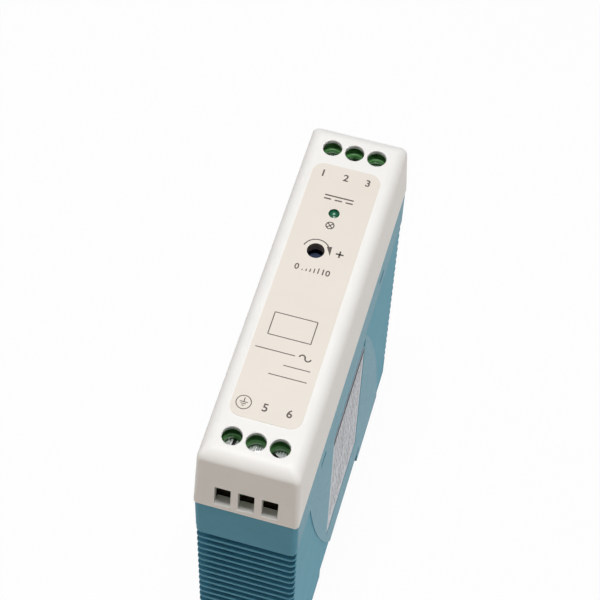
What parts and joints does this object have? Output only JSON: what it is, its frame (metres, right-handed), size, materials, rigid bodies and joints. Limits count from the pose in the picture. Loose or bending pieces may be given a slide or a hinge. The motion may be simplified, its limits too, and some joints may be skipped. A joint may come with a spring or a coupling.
{
  "type": "din rail power supply",
  "caption": "Slim power supply that clips onto a top-hat rail: ribbed case, drafted front cover, screw terminals at both ends, lamp, voltage trimmer and a sprung rail foot.",
  "frame": {"origin": "centre of the rear, on the plane that the unit stands on", "axes": "+Z out of the front face, +Y towards the output terminals, +X to the right as seen from the front"},
  "size_m": [0.0226, 0.09, 0.1],
  "materials": {
    "case": "fine moulded texture",
    "cover": "satin moulded",
    "film": "matt film",
    "silver_film": "silver film",
    "foot": "moulded",
    "steel": "zinc plated",
    "screw": "zinc plated",
    "housing": "moulded",
    "contact": "tinned",
    "front_board": "laminate",
    "main_board": "bare laminate",
    "link": "moulded",
    "lens": "tinted lens",
    "spacer": "moulded",
    "bush": "moulded",
    "trimmer": "moulded",
    "rotor": "moulded",
    "dark_part": "moulded",
    "blue_part": "dipped lacquer",
    "thermistor": "dipped lacquer",
    "yellow_part": "tape and moulded box",
    "ferrite": "sintered",
    "copper": "lacquered wire",
    "can": "shrink sleeve",
    "green_can": "shrink sleeve",
    "plate": "rolled",
    "resistor": "lacquered",
    "sheet": "plain sheet"
  },
  "bodies": {
    "supply": {"case": "case", "front_cover": "cover", "front_label": "film", "rating_label": "silver_film", "foot_spring": "steel", "heatsink_screws": "screw", "output_housing": "housing", "input_housing": "housing", "output_contacts": "contact", "input_contacts": "contact", "lamp_leads": "contact", "front_board": "front_board", "main_board": "main_board", "mains_link": "link", "output_link": "link", "lamp": "lens", "lamp_spacer": "spacer", "trimmer_bush": "bush", "trimmer_body": "trimmer", "fuse": "dark_part", "bridge_rectifier": "dark_part", "controller_chip": "dark_part", "optocoupler": "dark_part", "shunt_regulator": "dark_part", "status_transistor": "dark_part", "switching_transistor": "dark_part", "output_rectifier": "dark_part", "transformer_bobbin": "dark_part", "varistor": "blue_part", "safety_capacitor": "blue_part", "inrush_thermistor": "thermistor", "suppression_capacitor": "yellow_part", "transformer_winding": "yellow_part", "choke_core": "ferrite", "transformer_core": "ferrite", "inductor_core": "ferrite", "choke_winding_a": "copper", "choke_winding_b": "copper", "inductor_winding": "copper", "bulk_capacitor": "can", "auxiliary_capacitor": "can", "output_capacitors": "green_can", "primary_heatsink": "plate", "secondary_heatsink": "plate", "snubber_resistor": "resistor", "insulation_sheet": "sheet"},
    "output_screw_1": {"output_screw_1": "screw"},
    "output_cage_1": {"output_cage_1": "steel"},
    "output_screw_2": {"output_screw_2": "screw"},
    "output_cage_2": {"output_cage_2": "steel"},
    "output_screw_3": {"output_screw_3": "screw"},
    "output_cage_3": {"output_cage_3": "steel"},
    "input_screw_1": {"input_screw_1": "screw"},
    "input_cage_1": {"input_cage_1": "steel"},
    "input_screw_2": {"input_screw_2": "screw"},
    "input_cage_2": {"input_cage_2": "steel"},
    "input_screw_3": {"input_screw_3": "screw"},
    "input_cage_3": {"input_cage_3": "steel"},
    "trimmer_rotor": {"trimmer_rotor": "rotor"},
    "rail_foot": {"rail_foot": "foot"}
  },
  "joints": [
    {"name": "output_screw_1_turn", "type": "hinge", "parent": "supply", "child": "output_screw_1", "pos_m": [-0.005, 0.0374, 0.0935], "axis": [0, 0, -1], "range_deg": [0, 1728]},
    {"name": "output_cage_1_lift", "type": "slide", "parent": "supply", "child": "output_cage_1", "axis": [0, 0, 1], "range_m": [0, 0.0024]},
    {"name": "output_screw_2_turn", "type": "hinge", "parent": "supply", "child": "output_screw_2", "pos_m": [0, 0.0374, 0.0935], "axis": [0, 0, -1], "range_deg": [0, 1728]},
    {"name": "output_cage_2_lift", "type": "slide", "parent": "supply", "child": "output_cage_2", "axis": [0, 0, 1], "range_m": [0, 0.0024]},
    {"name": "output_screw_3_turn", "type": "hinge", "parent": "supply", "child": "output_screw_3", "pos_m": [0.005, 0.0374, 0.0935], "axis": [0, 0, -1], "range_deg": [0, 1728]},
    {"name": "output_cage_3_lift", "type": "slide", "parent": "supply", "child": "output_cage_3", "axis": [0, 0, 1], "range_m": [0, 0.0024]},
    {"name": "input_screw_1_turn", "type": "hinge", "parent": "supply", "child": "input_screw_1", "pos_m": [-0.005, -0.0374, 0.0935], "axis": [0, 0, -1], "range_deg": [0, 1728]},
    {"name": "input_cage_1_lift", "type": "slide", "parent": "supply", "child": "input_cage_1", "axis": [0, 0, 1], "range_m": [0, 0.0024]},
    {"name": "input_screw_2_turn", "type": "hinge", "parent": "supply", "child": "input_screw_2", "pos_m": [0, -0.0374, 0.0935], "axis": [0, 0, -1], "range_deg": [0, 1728]},
    {"name": "input_cage_2_lift", "type": "slide", "parent": "supply", "child": "input_cage_2", "axis": [0, 0, 1], "range_m": [0, 0.0024]},
    {"name": "input_screw_3_turn", "type": "hinge", "parent": "supply", "child": "input_screw_3", "pos_m": [0.005, -0.0374, 0.0935], "axis": [0, 0, -1], "range_deg": [0, 1728]},
    {"name": "input_cage_3_lift", "type": "slide", "parent": "supply", "child": "input_cage_3", "axis": [0, 0, 1], "range_m": [0, 0.0024]},
    {"name": "trimmer_turn", "type": "hinge", "parent": "supply", "child": "trimmer_rotor", "pos_m": [-0.00115, 0.01005, 0.0958], "axis": [0, 0, -1], "range_deg": [-135, 135]},
    {"name": "foot_pull", "type": "slide", "parent": "supply", "child": "rail_foot", "axis": [0, -1, 0], "range_m": [0, 0.0035], "stiffness_N_per_m": 1500, "springref_m": -0.002, "deforming": ["foot_spring"]}
  ],
  "couplings": [
    {"joint": "output_screw_1_turn", "follows": "output_cage_1_lift", "rad_per_m": 12566},
    {"joint": "output_screw_2_turn", "follows": "output_cage_2_lift", "rad_per_m": 12566},
    {"joint": "output_screw_3_turn", "follows": "output_cage_3_lift", "rad_per_m": 12566},
    {"joint": "input_screw_1_turn", "follows": "input_cage_1_lift", "rad_per_m": 12566},
    {"joint": "input_screw_2_turn", "follows": "input_cage_2_lift", "rad_per_m": 12566},
    {"joint": "input_screw_3_turn", "follows": "input_cage_3_lift", "rad_per_m": 12566}
  ]
}
